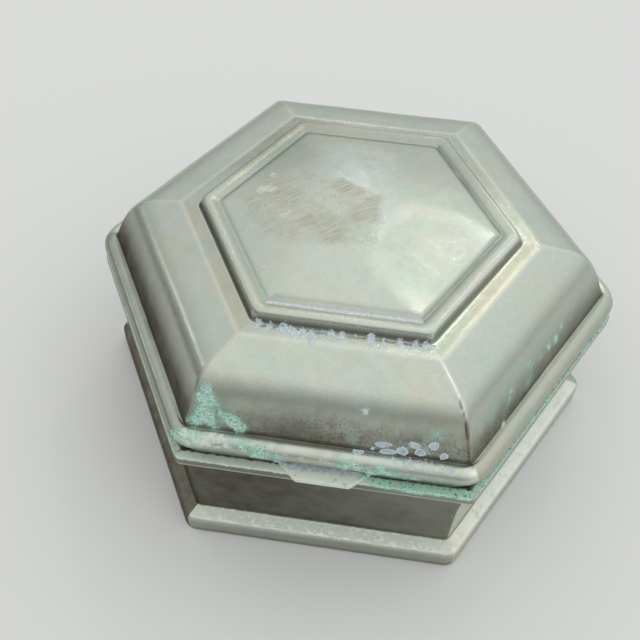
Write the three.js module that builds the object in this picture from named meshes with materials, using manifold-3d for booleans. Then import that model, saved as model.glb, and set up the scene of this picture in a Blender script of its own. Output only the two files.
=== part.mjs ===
// Hexagonal cast metal jewellery box with a lift-off lid, in millimetres, +Z up.
// The origin is the middle of the underside. The front, with the thumb tab, faces -Y.
// Every reach is measured from the upright middle line to a flat side of the hexagon.
import * as THREE from "three";
import { mergeVertices } from "three/addons/utils/BufferGeometryUtils.js";
import Module from "manifold-3d";

const SIDES = 6;
const HALF_CORNER = Math.PI / SIDES;

// Box body: a straight wall that flares in a cove under the rim
const wallReach = 48.9;
const wallThickness = 2.0;
const wallCornerRadius = 1.8;
const floorThickness = 2.4;
const bodyHeight = 32.2;

// Base moulding: an upright band, rounded over at the top and sloping in to the wall
const mouldingProjection = 3.3;
const mouldingHeight = 6.2;
const mouldingSlopeRise = 0.8;
const mouldingNoseRadius = 1.3;
const mouldingFootChamfer = 0.5;
const mouldingCornerRadius = 3.6;

// Rim flange that the lid sits on
const rimProjection = 3.2;
const rimThickness = 2.6;
const rimCornerRadius = 2.0;
const coveHeight = 15.0;
const coveProjection = 2.5;

// How the lid sits on the rim and centres itself in the mouth
const seatGap = 0.3;
const lipClearance = 0.5;
const lipThickness = 1.4;
const lipDepth = 2.8;
const lipCornerRadius = 1.0;

// Lid edge: a half-round bead, its nose straight above the rim's edge, over a recessed seat
const lidThickness = 1.8;
const seatInset = 0.65;
const seatHeight = 0.6;
const beadRadius = 2.15;
const beadRise = 4.8;
const beadCornerRadius = 7;

// Lid shoulder: a steep convex slope from the neck behind the bead up to a soft ridge
const neckInset = 1.15;
const neckRise = 6.75;
const neckSlope = 71;
const neckFullness = 13;
const shoulderRun = 14.6;
const ridgeRise = 19.8;
const ridgeSlope = 9.5;
const ridgeFullness = 8.8;
const shoulderCornerRadius = 1.7;

// Raised frame on top, and the ring round its foot, which falls a little inwards
const ringWidth = 3.1;
const ringFall = 0.15;
const frameHeight = 2.5;
const frameBatter = 0.8;
const frameCrestRadius = 0.9;
const frameBandWidth = 3.2;
const frameBandFall = 0.7;
const frameCornerRadius = 2.4;

// Shallow domed panel inside the frame
const grooveWidth = 0.5;
const panelEdgeRise = 0.3;
const panelEdgeWidth = 0.5;
const panelDomeRise = 1.5;
const panelCornerRadius = 1.6;

// Thumb tab cast on the front of the lid
const tabProjection = 1.9;
const tabTipWidth = 10.8;
const tabRootWidth = 23.0;
const tabRootDepth = 0.9;
const tabThickness = 1.3;
const tabEdgeBevel = 0.3;

// Facets of the rounded stretches
const cornerSteps = 3;
const noseSteps = 4;
const coveSteps = 6;
const beadSteps = 8;
const shoulderSteps = 8;
const crestSteps = 2;
const panelSteps = 4;

// Levels and reaches that more than one form shares
const rimReach = wallReach + rimProjection;
const insideReach = wallReach - wallThickness;
const lidSeat = bodyHeight + seatGap;
const beadReach = rimReach - beadRadius;
const seatReach = beadReach - seatInset;
const neckReach = beadReach - neckInset;
const ridgeReach = neckReach - shoulderRun;
const ridgeHeight = lidSeat + ridgeRise;

const degrees = (angle) => THREE.MathUtils.degToRad(angle);

// One level of a hexagonal form: reach to the flats, height and plan radius of the corners
const level = (reach, height, cornerRadius) => ({ reach, height, cornerRadius });

// Points of an arc or an ellipse in the profile, from one angle to another in degrees
function profileArc(centreReach, centreHeight, radiusReach, radiusHeight, from, to, steps, cornerRadius) {
  const levels = [];
  for (let step = 0; step <= steps; step += 1) {
    const angle = degrees(from + ((to - from) * step) / steps);
    const reach = centreReach + radiusReach * Math.cos(angle);
    const height = centreHeight + radiusHeight * Math.sin(angle);
    levels.push(level(reach, height, cornerRadius));
  }
  return levels;
}

// Plan outline of one level: a hexagon with rounded corners, its first corner on +X
function hexagonOutline({ reach, height, cornerRadius }) {
  const radius = Math.min(cornerRadius, reach);
  const centreDistance = (reach - radius) / Math.cos(HALF_CORNER);
  const outline = [];
  for (let corner = 0; corner < SIDES; corner += 1) {
    const direction = 2 * HALF_CORNER * corner;
    for (let step = 0; step <= cornerSteps; step += 1) {
      const turn = direction + HALF_CORNER * ((2 * step) / cornerSteps - 1);
      const x = centreDistance * Math.cos(direction) + radius * Math.cos(turn);
      const y = centreDistance * Math.sin(direction) + radius * Math.sin(turn);
      outline.push(new THREE.Vector3(x, y, height));
    }
  }
  return outline;
}

// Closed body through a profile that starts and ends on the middle line.
// The levels run outwards under the body, up its outside and back over its top.
function hexagonLoft(startHeight, levels, endHeight) {
  const outlines = levels.map(hexagonOutline);
  const count = outlines[0].length;
  const start = new THREE.Vector3(0, 0, startHeight);
  const end = new THREE.Vector3(0, 0, endHeight);
  const points = [start, ...outlines.flat(), end];
  const last = points.length - 1;
  const at = (row, column) => 1 + row * count + (column % count);
  const faces = [];
  for (let column = 0; column < count; column += 1) {
    faces.push(0, at(0, column + 1), at(0, column));
    for (let row = 0; row + 1 < outlines.length; row += 1) {
      faces.push(at(row, column), at(row, column + 1), at(row + 1, column + 1));
      faces.push(at(row, column), at(row + 1, column + 1), at(row + 1, column));
    }
    faces.push(last, at(outlines.length - 1, column), at(outlines.length - 1, column + 1));
  }
  const geometry = new THREE.BufferGeometry().setFromPoints(points);
  geometry.setIndex(faces);
  return geometry;
}

// Box body, from under the floor, round the moulding, wall and rim, and down the inside
function bodyGeometry() {
  const mouldingReach = wallReach + mouldingProjection;
  const noseHeight = mouldingHeight - mouldingSlopeRise - mouldingNoseRadius;
  const rimUnderside = bodyHeight - rimThickness;
  const coveFoot = rimUnderside - coveHeight;
  const insideCornerRadius = Math.max(wallCornerRadius - wallThickness, 0.5);
  const levels = [
    level(mouldingReach - mouldingFootChamfer, 0, mouldingCornerRadius),
    level(mouldingReach, mouldingFootChamfer, mouldingCornerRadius),
    ...profileArc(
      mouldingReach - mouldingNoseRadius, noseHeight, mouldingNoseRadius, mouldingNoseRadius,
      0, 75, noseSteps, mouldingCornerRadius,
    ),
    level(wallReach, mouldingHeight, wallCornerRadius),
    ...profileArc(
      wallReach + coveProjection, coveFoot, coveProjection, coveHeight,
      180, 90, coveSteps, wallCornerRadius,
    ),
    level(rimReach, rimUnderside, rimCornerRadius),
    level(rimReach, bodyHeight, rimCornerRadius),
    level(insideReach, bodyHeight, insideCornerRadius),
    level(insideReach, floorThickness, insideCornerRadius),
  ];
  return hexagonLoft(0, levels, floorThickness);
}

// Shoulder of the lid in profile, from the neck up to the ridge
function shoulderCurve() {
  const neck = new THREE.Vector2(neckReach, lidSeat + neckRise);
  const ridge = new THREE.Vector2(ridgeReach, ridgeHeight);
  const neckRun = new THREE.Vector2(-Math.cos(degrees(neckSlope)), Math.sin(degrees(neckSlope)));
  const ridgeRun = new THREE.Vector2(Math.cos(degrees(ridgeSlope)), -Math.sin(degrees(ridgeSlope)));
  return new THREE.CubicBezierCurve(
    neck,
    neck.clone().addScaledVector(neckRun, neckFullness),
    ridge.clone().addScaledVector(ridgeRun, ridgeFullness),
    ridge,
  );
}

// Inside of the shoulder, from the ridge down: the curve moved in by the lid's thickness,
// which ends where it meets the upright inside of the lip
function shoulderInside(lipInside) {
  const curve = shoulderCurve();
  const moved = [];
  for (let step = 0; step <= shoulderSteps; step += 1) {
    const run = curve.getTangent(step / shoulderSteps);
    const inwards = new THREE.Vector2(-run.y, run.x);
    moved.push(curve.getPoint(step / shoulderSteps).addScaledVector(inwards, lidThickness));
  }
  const first = moved.findIndex((point) => point.x < lipInside);
  const meeting = moved[first].clone();
  if (first > 0) {
    const share = (lipInside - moved[first].x) / (moved[first - 1].x - moved[first].x);
    meeting.lerp(moved[first - 1], share);
  }
  const inside = [new THREE.Vector2(lipInside, meeting.y), ...moved.slice(first)];
  return inside.reverse().map((point) => level(point.x, point.y, shoulderCornerRadius));
}

// Top panel from its edge to its middle: the hexagon turns into a round dome on the way
function panelLevels(edgeReach, edgeHeight) {
  const levels = [];
  for (let step = 0; step < panelSteps; step += 1) {
    const share = 1 - step / panelSteps;
    const roundness = 1 - share * share;
    const reach = edgeReach * share;
    const radius = THREE.MathUtils.lerp(panelCornerRadius, reach, roundness);
    levels.push(level(reach, edgeHeight + panelDomeRise * roundness, radius));
  }
  return levels;
}

// Lid without its tab, from the middle of its hollow, down and round the lip, and up the outside
function lidShell() {
  const lipOutside = insideReach - lipClearance;
  const lipInside = lipOutside - lipThickness;
  const footReach = ridgeReach - ringWidth;
  const footHeight = ridgeHeight - ringFall;
  const crestReach = footReach - frameBatter;
  const crestHeight = footHeight + frameHeight;
  const grooveReach = crestReach - frameBandWidth;
  const grooveHeight = crestHeight - frameBandFall;
  const panelReach = grooveReach - grooveWidth - panelEdgeWidth;
  const panelHeight = grooveHeight + panelEdgeRise;
  const insideStepReach = grooveReach - grooveWidth;
  const panelInside = panelLevels(insideStepReach - lidThickness, grooveHeight - lidThickness);
  const levels = [
    ...panelInside.reverse(),
    level(insideStepReach, ridgeHeight - lidThickness, panelCornerRadius),
    ...shoulderInside(lipInside),
    level(lipInside, lidSeat - lipDepth, lipCornerRadius),
    level(lipOutside, lidSeat - lipDepth, lipCornerRadius),
    level(lipOutside, lidSeat, lipCornerRadius),
    level(seatReach, lidSeat, beadCornerRadius),
    level(seatReach, lidSeat + seatHeight, beadCornerRadius),
    ...profileArc(
      beadReach, lidSeat + beadRise, beadRadius, beadRadius,
      -65, 105, beadSteps, beadCornerRadius,
    ),
    ...shoulderCurve().getPoints(shoulderSteps).map((point) => level(point.x, point.y, shoulderCornerRadius)),
    level(footReach, footHeight, frameCornerRadius),
    ...profileArc(
      crestReach - frameCrestRadius, crestHeight - frameCrestRadius, frameCrestRadius, frameCrestRadius,
      20, 90, crestSteps, frameCornerRadius,
    ),
    level(grooveReach, grooveHeight, panelCornerRadius),
    level(grooveReach - grooveWidth, grooveHeight, panelCornerRadius),
    ...panelLevels(panelReach, panelHeight),
  ];
  return hexagonLoft(grooveHeight - lidThickness + panelDomeRise, levels, panelHeight + panelDomeRise);
}

// Thumb tab: a flat tongue, narrower at its tip, with softened edges
function tabGeometry() {
  const tip = tabTipWidth / 2 - tabEdgeBevel;
  const root = tabRootWidth / 2 - tabEdgeBevel;
  const tipReach = rimReach + tabProjection - tabEdgeBevel;
  const rootReach = seatReach - tabRootDepth;
  const outline = new THREE.Shape();
  outline.moveTo(-root, -rootReach);
  outline.lineTo(-tip, -tipReach);
  outline.lineTo(tip, -tipReach);
  outline.lineTo(root, -rootReach);
  outline.closePath();
  const tab = new THREE.ExtrudeGeometry(outline, {
    depth: tabThickness - 2 * tabEdgeBevel,
    bevelSize: tabEdgeBevel,
    bevelThickness: tabEdgeBevel,
    bevelSegments: 1,
  });
  return tab.translate(0, 0, lidSeat + tabEdgeBevel);
}

const wasm = await Module();
wasm.setup();

// A three.js shape as a closed solid
function toSolid(geometry) {
  const bare = geometry.clone();
  bare.deleteAttribute("normal");
  bare.deleteAttribute("uv");
  const merged = mergeVertices(bare);
  const vertProperties = new Float32Array(merged.attributes.position.array);
  const triVerts = new Uint32Array(merged.index.array);
  return new wasm.Manifold(new wasm.Mesh({ numProp: 3, vertProperties, triVerts }));
}

// A closed solid as a three.js shape
function toGeometry(solid) {
  const { numProp, vertProperties, triVerts } = solid.getMesh();
  const positions = new Float32Array((vertProperties.length / numProp) * 3);
  for (let point = 0; point < positions.length / 3; point += 1) {
    positions.set(vertProperties.subarray(point * numProp, point * numProp + 3), point * 3);
  }
  const geometry = new THREE.BufferGeometry();
  geometry.setAttribute("position", new THREE.BufferAttribute(positions, 3));
  geometry.setIndex(Array.from(triVerts));
  return geometry;
}

// A named piece of worn, silvered metal
function piece(name, geometry, color, roughness) {
  geometry.computeVertexNormals();
  const mesh = new THREE.Mesh(geometry, new THREE.MeshStandardMaterial({ color, roughness, metalness: 0.9 }));
  mesh.name = name;
  return mesh;
}

const jewelryBox = new THREE.Group();
jewelryBox.add(piece("box_body", bodyGeometry(), 0x85897a, 0.45));
jewelryBox.add(piece("lid", toGeometry(toSolid(lidShell()).add(toSolid(tabGeometry()))), 0xa4a999, 0.4));

export default jewelryBox;
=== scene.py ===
import itertools
import math
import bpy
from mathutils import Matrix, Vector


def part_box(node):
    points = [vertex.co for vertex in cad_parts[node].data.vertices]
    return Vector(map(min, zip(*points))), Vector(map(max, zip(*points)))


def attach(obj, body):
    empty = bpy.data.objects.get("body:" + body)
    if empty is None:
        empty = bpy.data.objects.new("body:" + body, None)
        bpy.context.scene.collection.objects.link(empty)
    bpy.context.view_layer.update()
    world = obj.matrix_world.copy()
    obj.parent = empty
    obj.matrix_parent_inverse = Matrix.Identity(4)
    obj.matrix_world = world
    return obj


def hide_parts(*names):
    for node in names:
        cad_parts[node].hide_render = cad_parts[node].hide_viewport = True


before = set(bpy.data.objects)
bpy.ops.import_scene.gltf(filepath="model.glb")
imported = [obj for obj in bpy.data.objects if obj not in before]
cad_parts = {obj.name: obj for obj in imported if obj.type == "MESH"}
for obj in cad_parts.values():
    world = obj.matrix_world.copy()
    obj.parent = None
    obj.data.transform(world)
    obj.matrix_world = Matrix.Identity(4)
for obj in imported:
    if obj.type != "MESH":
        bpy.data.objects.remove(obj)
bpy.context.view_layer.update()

from types import SimpleNamespace

import bmesh
import bpy
import numpy as np
from bpy.props import (
    FloatProperty, FloatVectorProperty, IntProperty, PointerProperty,
)
from mathutils import Matrix, Vector
from mathutils.bvhtree import BVHTree

bl_info = {
    "name": "Hexagonal metal jewelry box",
    "version": (1, 0, 0),
    "blender": (4, 5, 0),
    "location": "View3D > Sidebar > Jewelry box",
    "description": "Makes a worn six-sided metal box with a domed lift-off lid, its patina and its stage",
    "category": "Object",
}

BODY_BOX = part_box("box_body")
LID_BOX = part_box("lid")

SIDES = 6
HALF_CORNER = math.radians(30)
MM = 0.001


# Sizes and colours

def length(name, description, millimetres):
    """A length that a user may change, kept in metres."""
    return FloatProperty(
        name=name, description=description, default=millimetres * MM,
        min=0.0, unit="LENGTH", subtype="DISTANCE", precision=5,
    )


def colour(name, description, value):
    """A colour that a user may change, as scene-linear red, green and blue."""
    return FloatVectorProperty(
        name=name, description=description, default=value,
        size=3, min=0.0, max=1.0, subtype="COLOR",
    )


class BodySizes(bpy.types.PropertyGroup):
    height: length("Height", "From the table to the top of the rim", BODY_BOX[1].z / MM)
    foot_reach: length(
        "Foot reach", "From the middle line to a flat side of the base moulding", BODY_BOX[1].y / MM)
    rim_projection: length("Rim projection", "How far the rim stands out from the wall", 3.2)
    rim_thickness: length("Rim thickness", "Height of the rim's flat edge", 2.6)
    moulding_projection: length(
        "Moulding projection", "How far the base moulding stands out from the wall", 3.3)
    moulding_height: length("Moulding height", "From the table to the top of the base moulding", 6.2)
    cove_height: length("Cove height", "Height of the hollow curve under the rim", 15.0)
    wall_thickness: length("Wall thickness", "Thickness of the upright walls", 2.0)
    floor_thickness: length("Floor thickness", "Thickness of the floor", 2.4)


class LidSizes(bpy.types.PropertyGroup):
    lip_foot: length("Lip foot", "Height of the hidden lip's lower edge", LID_BOX[0].z / MM)
    lip_depth: length("Lip depth", "How far the hidden lip reaches down into the box", 2.8)
    rim_reach: length(
        "Rim reach", "From the middle line to a flat side of the bead", BODY_BOX[1].y / MM - 0.1)
    bead_radius: length("Bead radius", "Radius of the rounded bead along the edge", 2.15)
    shoulder_run: length("Shoulder run", "Width of the sloping shoulder in plan", 14.6)
    ridge_rise: length("Ridge rise", "Height of the ridge above the lid's seat", 19.8)
    frame_height: length("Frame height", "How far the top frame stands up from the ring", 2.5)
    band_width: length("Frame band width", "Width of the top frame's sloping band", 3.2)
    dome_rise: length("Dome rise", "How far the top panel swells in its middle", 1.5)
    metal: length("Thickness", "Thickness of the lid's metal", 1.8)
    tab_reach: length("Tab reach", "From the middle line to the thumb tab's tip", -LID_BOX[0].y / MM)
    tab_tip_width: length("Tab tip width", "Width of the thumb tab at its tip", 10.8)
    tab_root_width: length("Tab root width", "Width of the thumb tab where it meets the lid", 23.0)
    tab_thickness: length("Tab thickness", "Thickness of the thumb tab", 1.3)


class Finish(bpy.types.PropertyGroup):
    silvering: colour("Silvering", "Worn pale metal of the lid and the body", (0.55, 0.60, 0.565))
    warm_metal: colour("Warm metal", "Yellower metal where the silvering is thin", (0.60, 0.60, 0.47))
    green_metal: colour("Green metal", "Faintly green bloom on the metal", (0.50, 0.60, 0.52))
    # This grey-brown is also painted shade: the same colour darkens the left side, the neck, the bead's
    # underside, the walls and other places where less light falls.
    tarnish: colour("Tarnish", "Grey-brown tarnish", (0.085, 0.078, 0.065))
    brown: colour("Brown", "Brown tarnish and dirt in the recesses", (0.13, 0.105, 0.078))
    green_stain: colour("Green stain", "Thin pale green on the metal", (0.36, 0.58, 0.46))
    verdigris: colour("Verdigris", "Green copper salts", (0.20, 0.56, 0.44))
    verdigris_pale: colour("Pale verdigris", "Whitish cells in the green salts", (0.66, 0.88, 0.78))
    verdigris_fresh: colour("Fresh verdigris", "Brighter green salts on the rim", (0.42, 0.92, 0.66))
    verdigris_deep: colour("Deep verdigris", "Dark green between the salts", (0.12, 0.23, 0.19))
    # This chalky colour is also painted light: it lightens the rim top that the lid shades, the thumb tab
    # and the moulding's top.
    bloom: colour("Bloom", "Chalky pale coat in the corners", (0.84, 0.84, 0.74))
    bloom_green: colour("Green bloom", "Greener parts of the chalky coat", (0.66, 0.88, 0.75))
    crust: colour("Crust", "Pale blue mineral crust", (0.46, 0.57, 0.63))
    crust_pale: colour("Pale crust", "Whiter parts of the crust", (0.82, 0.88, 0.92))
    flake: colour("Flake", "Thin grey-blue skin inside the flakes of crust", (0.35, 0.47, 0.51))
    residue: colour("Residue", "Old glue residue on the top panel", (0.36, 0.34, 0.22))
    residue_pale: colour("Pale residue", "Lighter streaks of the residue", (0.56, 0.57, 0.48))
    floor: colour("Floor", "Plain pale floor", (0.80, 0.80, 0.79))
    grain_count: FloatProperty(
        name="Verdigris grains", description="Grains for each square metre of full verdigris",
        default=1.4e6, min=0.0)
    grain_size: length("Grain size", "Usual radius of a grain of verdigris", 0.17)
    seed: IntProperty(name="Seed", description="Seed of the scattered grains", default=7, min=0)


def in_millimetres(group):
    """The lengths of a property group, in millimetres."""
    return SimpleNamespace(**{name: getattr(group, name) / MM for name in group.__annotations__})


# Profiles
# A level is (reach to the flats, height, plan radius of the corners, radius of the edge in profile)

def arc_levels(reach, height, radii, turn, steps, corner):
    """Levels on an arc or an ellipse in the profile, from one angle to another in degrees."""
    levels = []
    for step in range(steps + 1):
        angle = math.radians(turn[0] + (turn[1] - turn[0]) * step / steps)
        levels.append((
            reach + radii[0] * math.cos(angle), height + radii[1] * math.sin(angle), corner, 0.0))
    return levels


def softened(levels):
    """The same levels with each sharp edge rounded by its own radius."""
    rounded = [levels[0]]
    for before, here, after in zip(levels, levels[1:], levels[2:]):
        if here[3] <= 0:
            rounded.append(here)
            continue
        point = np.array(here[:3])
        back, on = np.array(before[:3]) - point, np.array(after[:3]) - point
        back_length, on_length = np.linalg.norm(back[:2]), np.linalg.norm(on[:2])
        half = math.acos(np.clip(back[:2] @ on[:2] / (back_length * on_length), -1, 1)) / 2
        run = min(here[3] / math.tan(half), 0.48 * back_length, 0.48 * on_length)
        steps = 6 if here[3] > 2 else 3 if here[3] > 0.2 else 2
        start, end = point + back * run / back_length, point + on * run / on_length
        for step in range(steps + 1):
            share = step / steps
            mixed = start * (1 - share) ** 2 + point * 2 * share * (1 - share) + end * share ** 2
            rounded.append((*mixed, 0.0))
    return rounded + [levels[-1]]


def spaced(levels, spacing):
    """The same levels with more between them, so that no two are further apart than the spacing."""
    even = [levels[0][:3]]
    for before, here in zip(levels, levels[1:]):
        start, end = np.array(before[:3]), np.array(here[:3])
        count = max(1, math.ceil(np.linalg.norm((end - start)[:2]) / spacing))
        even += [tuple(start + (end - start) * step / count) for step in range(1, count + 1)]
    return even


def body_profile(size):
    """Under the floor, round the moulding, the wall and the rim, and down the inside."""
    wall = size.foot_reach - size.moulding_projection
    rim = wall + size.rim_projection
    inside = wall - size.wall_thickness
    rim_under = size.height - size.rim_thickness
    nose = 1.3
    outside = softened([
        (0.0, 0.0, 3.6, 0.0),
        (size.foot_reach - 0.5, 0.0, 3.6, 0.25),
        (size.foot_reach, 0.5, 3.6, 0.25),
        *arc_levels(
            size.foot_reach - nose, size.moulding_height - 0.8 - nose, (nose, nose), (0, 75), 5, 3.6),
        (wall, size.moulding_height, 1.8, 0.35),
        *arc_levels(
            wall + 2.5, rim_under - size.cove_height, (2.5, size.cove_height), (180, 90), 9, 1.8)[:-1],
        (rim - 0.7, rim_under, 1.8, 0.2),
        (rim, rim_under, 2.0, 0.35),
        (rim, size.height, 2.0, 0.35),
        (rim - 1.4, size.height, 2.0, 0.0),
        (rim - 1.7, size.height, 2.0, 0.0),
        (inside, size.height, 0.5, 0.35),
        (inside, size.height - 2.0, 0.5, 0.0),
    ])
    hidden = softened([
        (inside, size.height - 2.0, 0.5, 0.0),
        (inside, size.floor_thickness, 0.5, 0.8),
        (0.0, size.floor_thickness, 0.5, 0.0),
    ])
    under = spaced(outside[:2], 6.0)
    return under[:-1] + spaced(outside[1:], 0.7) + spaced(hidden, 3.0)[1:]


def shoulder_curve(size, steps=30):
    """Points (reach, height) from the neck up to the ridge."""
    seat = size.lip_foot + size.lip_depth
    neck_inset, neck_rise, neck_fullness, ridge_fullness = 1.15, 6.75, 13.0, 8.8
    neck = np.array((size.rim_reach - size.bead_radius - neck_inset, seat + neck_rise))
    ridge = np.array((neck[0] - size.shoulder_run, seat + size.ridge_rise))
    steep, flat = math.radians(71), math.radians(9.5)
    low = neck + neck_fullness * np.array((-math.cos(steep), math.sin(steep)))
    high = ridge + ridge_fullness * np.array((math.cos(flat), -math.sin(flat)))
    points = []
    for step in range(steps + 1):
        t = step / steps
        points.append(
            neck * (1 - t) ** 3 + low * 3 * t * (1 - t) ** 2
            + high * 3 * t * t * (1 - t) + ridge * t ** 3)
    return points


def panel_levels(reach, height, rise, steps):
    """The top panel from its edge to its middle, where the hexagon turns into a round dome."""
    levels = []
    for step in range(steps):
        share = 1 - step / steps
        roundness = 1 - share * share
        corner = 1.6 + (reach * share - 1.6) * roundness
        levels.append((reach * share, height + rise * roundness, corner, 0.0))
    return levels


def lid_profile(size):
    """From the middle of the hollow, down and round the lip, up the outside and over the top."""
    seat = size.lip_foot + size.lip_depth
    bead = size.rim_reach - size.bead_radius
    curve = shoulder_curve(size)
    ridge, ridge_height = curve[-1]
    foot, foot_height = ridge - 3.1, ridge_height - 0.15
    crest, crest_height = foot - 0.8, foot_height + size.frame_height
    groove, groove_height = crest - size.band_width, crest_height - 0.7
    panel, panel_height = groove - 1.0, groove_height + 0.3
    under_panel = groove_height - size.metal
    lip_outside, lip_inside = 46.4, 45.0
    hip, bead_corner, crest_radius = 1.7, 7.0, 0.9

    inner = [(0.0, under_panel + size.dome_rise, 1.6, 0.0)]
    inner += panel_levels(groove - 0.5 - size.metal, under_panel, size.dome_rise, 8)[::-1]
    inner.append((groove - 0.5, ridge_height - size.metal, 1.6, 0.0))
    lowest = ridge_height
    for here, after in zip(curve[:0:-3], curve[-2::-3]):
        run = (here - after) / np.linalg.norm(here - after)
        point = here + size.metal * np.array((-run[1], run[0]))
        if point[0] < lip_inside - 0.5:
            inner.append((point[0], point[1], hip, 0.0))
            lowest = point[1]
    inner.append((lip_inside, lowest - 1.2, hip, 0.0))
    inner.append((lip_inside, size.lip_foot, 1.0, 0.0))

    outer = softened([
        inner[-1],
        (lip_outside, size.lip_foot, 1.0, 0.3),
        (lip_outside, seat, 1.0, 0.2),
        (bead - 0.65, seat, bead_corner, 0.15),
        (bead - 0.65, seat + 0.45, bead_corner, 0.1),
        (bead + 0.5, seat + 0.5, bead_corner, 0.2),
        (bead + 0.62, seat + 2.2, bead_corner, 0.4),
        *arc_levels(bead, seat + 4.8, (size.bead_radius, size.bead_radius), (-65, 100), 16, bead_corner),
        (*curve[0], hip, 0.25),
        *[(*point, hip, 0.0) for point in curve[1:-3]],
        (ridge, ridge_height, hip, 9.0),
        (ridge - 1.8, ridge_height - 0.10, 2.1, 2.5),
        (foot, foot_height, 2.4, 0.12),
        *arc_levels(
            crest - crest_radius, crest_height - crest_radius, (crest_radius,) * 2, (20, 90), 6, 2.4),
        (crest - 2.0, crest_height - 0.19, 2.0, 5.0),
        (groove, groove_height, 1.6, 0.3),
        (groove - 0.5, groove_height, 1.6, 0.3),
        *panel_levels(panel, panel_height, size.dome_rise, 36),
        (0.0, panel_height + size.dome_rise, 1.6, 0.0),
    ])
    return spaced(inner, 4.0)[:-1] + spaced(outer, 0.75)


# Node trees

class Recipe:
    """A node tree as it is put together, for a form or for a finish."""

    def __init__(self, tree):
        self.tree = tree

    def add(self, kind, feeds=None, **settings):
        node = self.tree.nodes.new(kind)
        for name, value in settings.items():
            setattr(node, name, value)
        for socket, value in (feeds or {}).items():
            if isinstance(value, bpy.types.NodeSocket):
                self.tree.links.new(value, node.inputs[socket])
            else:
                node.inputs[socket].default_value = value
        return node

    def sum(self, operation, *values):
        return self.add("ShaderNodeMath", dict(enumerate(values)), operation=operation).outputs[0]

    def times(self, one, other):
        return self.sum("MULTIPLY", one, other)

    def plus(self, one, other):
        return self.sum("ADD", one, other)

    def minus(self, one, other):
        return self.sum("SUBTRACT", one, other)

    def divided(self, one, other):
        return self.sum("DIVIDE", one, other)

    def most(self, one, other):
        return self.sum("MAXIMUM", one, other)

    def opening(self, name, kind, default=None, outward=False):
        socket = self.tree.interface.new_socket(
            name=name, in_out="OUTPUT" if outward else "INPUT", socket_type=kind)
        if default is not None:
            socket.default_value = default
        return socket


def loft_tree():
    """A tree that turns the points of a profile into a closed six-sided shell."""
    tree = bpy.data.node_groups.new("Six-sided loft", "GeometryNodeTree")
    r = Recipe(tree)
    r.opening("Geometry", "NodeSocketGeometry", outward=True)
    r.opening("Profile", "NodeSocketGeometry")
    r.opening("Columns a Side", "NodeSocketInt", 84)
    r.opening("Corner Share", "NodeSocketFloat", 0.143)
    r.opening("Material", "NodeSocketMaterial")
    given = r.add("NodeGroupInput").outputs
    profile, side_columns = given["Profile"], given["Columns a Side"]

    rows = r.add("GeometryNodeAttributeDomainSize", {0: profile}, component="MESH").outputs[0]
    around = r.plus(r.times(side_columns, float(SIDES)), 1.0)
    grid = r.add("GeometryNodeMeshGrid", {"Vertices X": rows, "Vertices Y": around}).outputs["Mesh"]
    index = r.add("GeometryNodeInputIndex").outputs[0]
    row = r.sum("FLOOR", r.divided(r.plus(index, 0.25), around))
    column = r.minus(index, r.times(row, around))

    def of_row(name):
        value = r.add("GeometryNodeInputNamedAttribute", {"Name": name}, data_type="FLOAT").outputs[0]
        return r.add(
            "GeometryNodeSampleIndex", {"Geometry": profile, "Value": value, "Index": row},
            data_type="FLOAT", domain="POINT").outputs[0]

    reach, height = of_row("reach"), of_row("height")
    radius = r.sum("MINIMUM", of_row("corner"), reach)

    # each side's columns run from one flat's middle, round a corner, to the next flat's middle
    corner = r.sum("FLOOR", r.divided(r.plus(column, 0.25), side_columns))
    place = r.divided(r.minus(column, r.times(corner, side_columns)), side_columns)
    from_corner = r.minus(r.times(place, 2.0), 1.0)
    hand = r.sum("SIGN", from_corner)
    way = r.sum("ABSOLUTE", from_corner)
    bend = r.times(radius, math.pi / 3)
    flat = r.times(r.minus(reach, radius), 2 * math.tan(HALF_CORNER))
    whole = r.plus(r.plus(bend, flat), 1e-9)
    turn = r.most(given["Corner Share"], r.divided(bend, whole))
    bent = r.times(r.sum("MINIMUM", r.divided(way, turn), 1.0), HALF_CORNER)
    past = r.most(r.minus(way, turn), 0.0)
    rest = r.most(r.minus(1.0, turn), 1e-6)
    slide = r.times(r.times(r.divided(past, rest), flat), r.times(hand, 0.5))

    direction = r.times(corner, 2 * HALF_CORNER)
    angle = r.plus(direction, r.times(bent, hand))
    centre = r.divided(r.minus(reach, radius), math.cos(HALF_CORNER))
    sine, cosine = r.sum("SINE", angle), r.sum("COSINE", angle)
    x = r.plus(
        r.times(centre, r.sum("COSINE", direction)),
        r.minus(r.times(radius, cosine), r.times(slide, sine)))
    y = r.plus(
        r.times(centre, r.sum("SINE", direction)),
        r.plus(r.times(radius, sine), r.times(slide, cosine)))
    position = r.add("ShaderNodeCombineXYZ", {0: x, 1: y, 2: height}).outputs[0]

    placed = r.add("GeometryNodeSetPosition", {"Geometry": grid, "Position": position}).outputs[0]
    closed = r.add("GeometryNodeMergeByDistance", {"Geometry": placed, "Distance": 1e-6}).outputs[0]
    outward = r.add("GeometryNodeFlipFaces", {"Mesh": closed}).outputs[0]
    smooth = r.add("GeometryNodeSetShadeSmooth", {"Geometry": outward}).outputs[0]
    real = r.add("GeometryNodeRealizeInstances", {"Geometry": smooth}).outputs[0]
    dressed = r.add(
        "GeometryNodeSetMaterial", {"Geometry": real, "Material": given["Material"]}).outputs[0]
    r.add("NodeGroupOutput", {0: dressed})
    return tree


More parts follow.
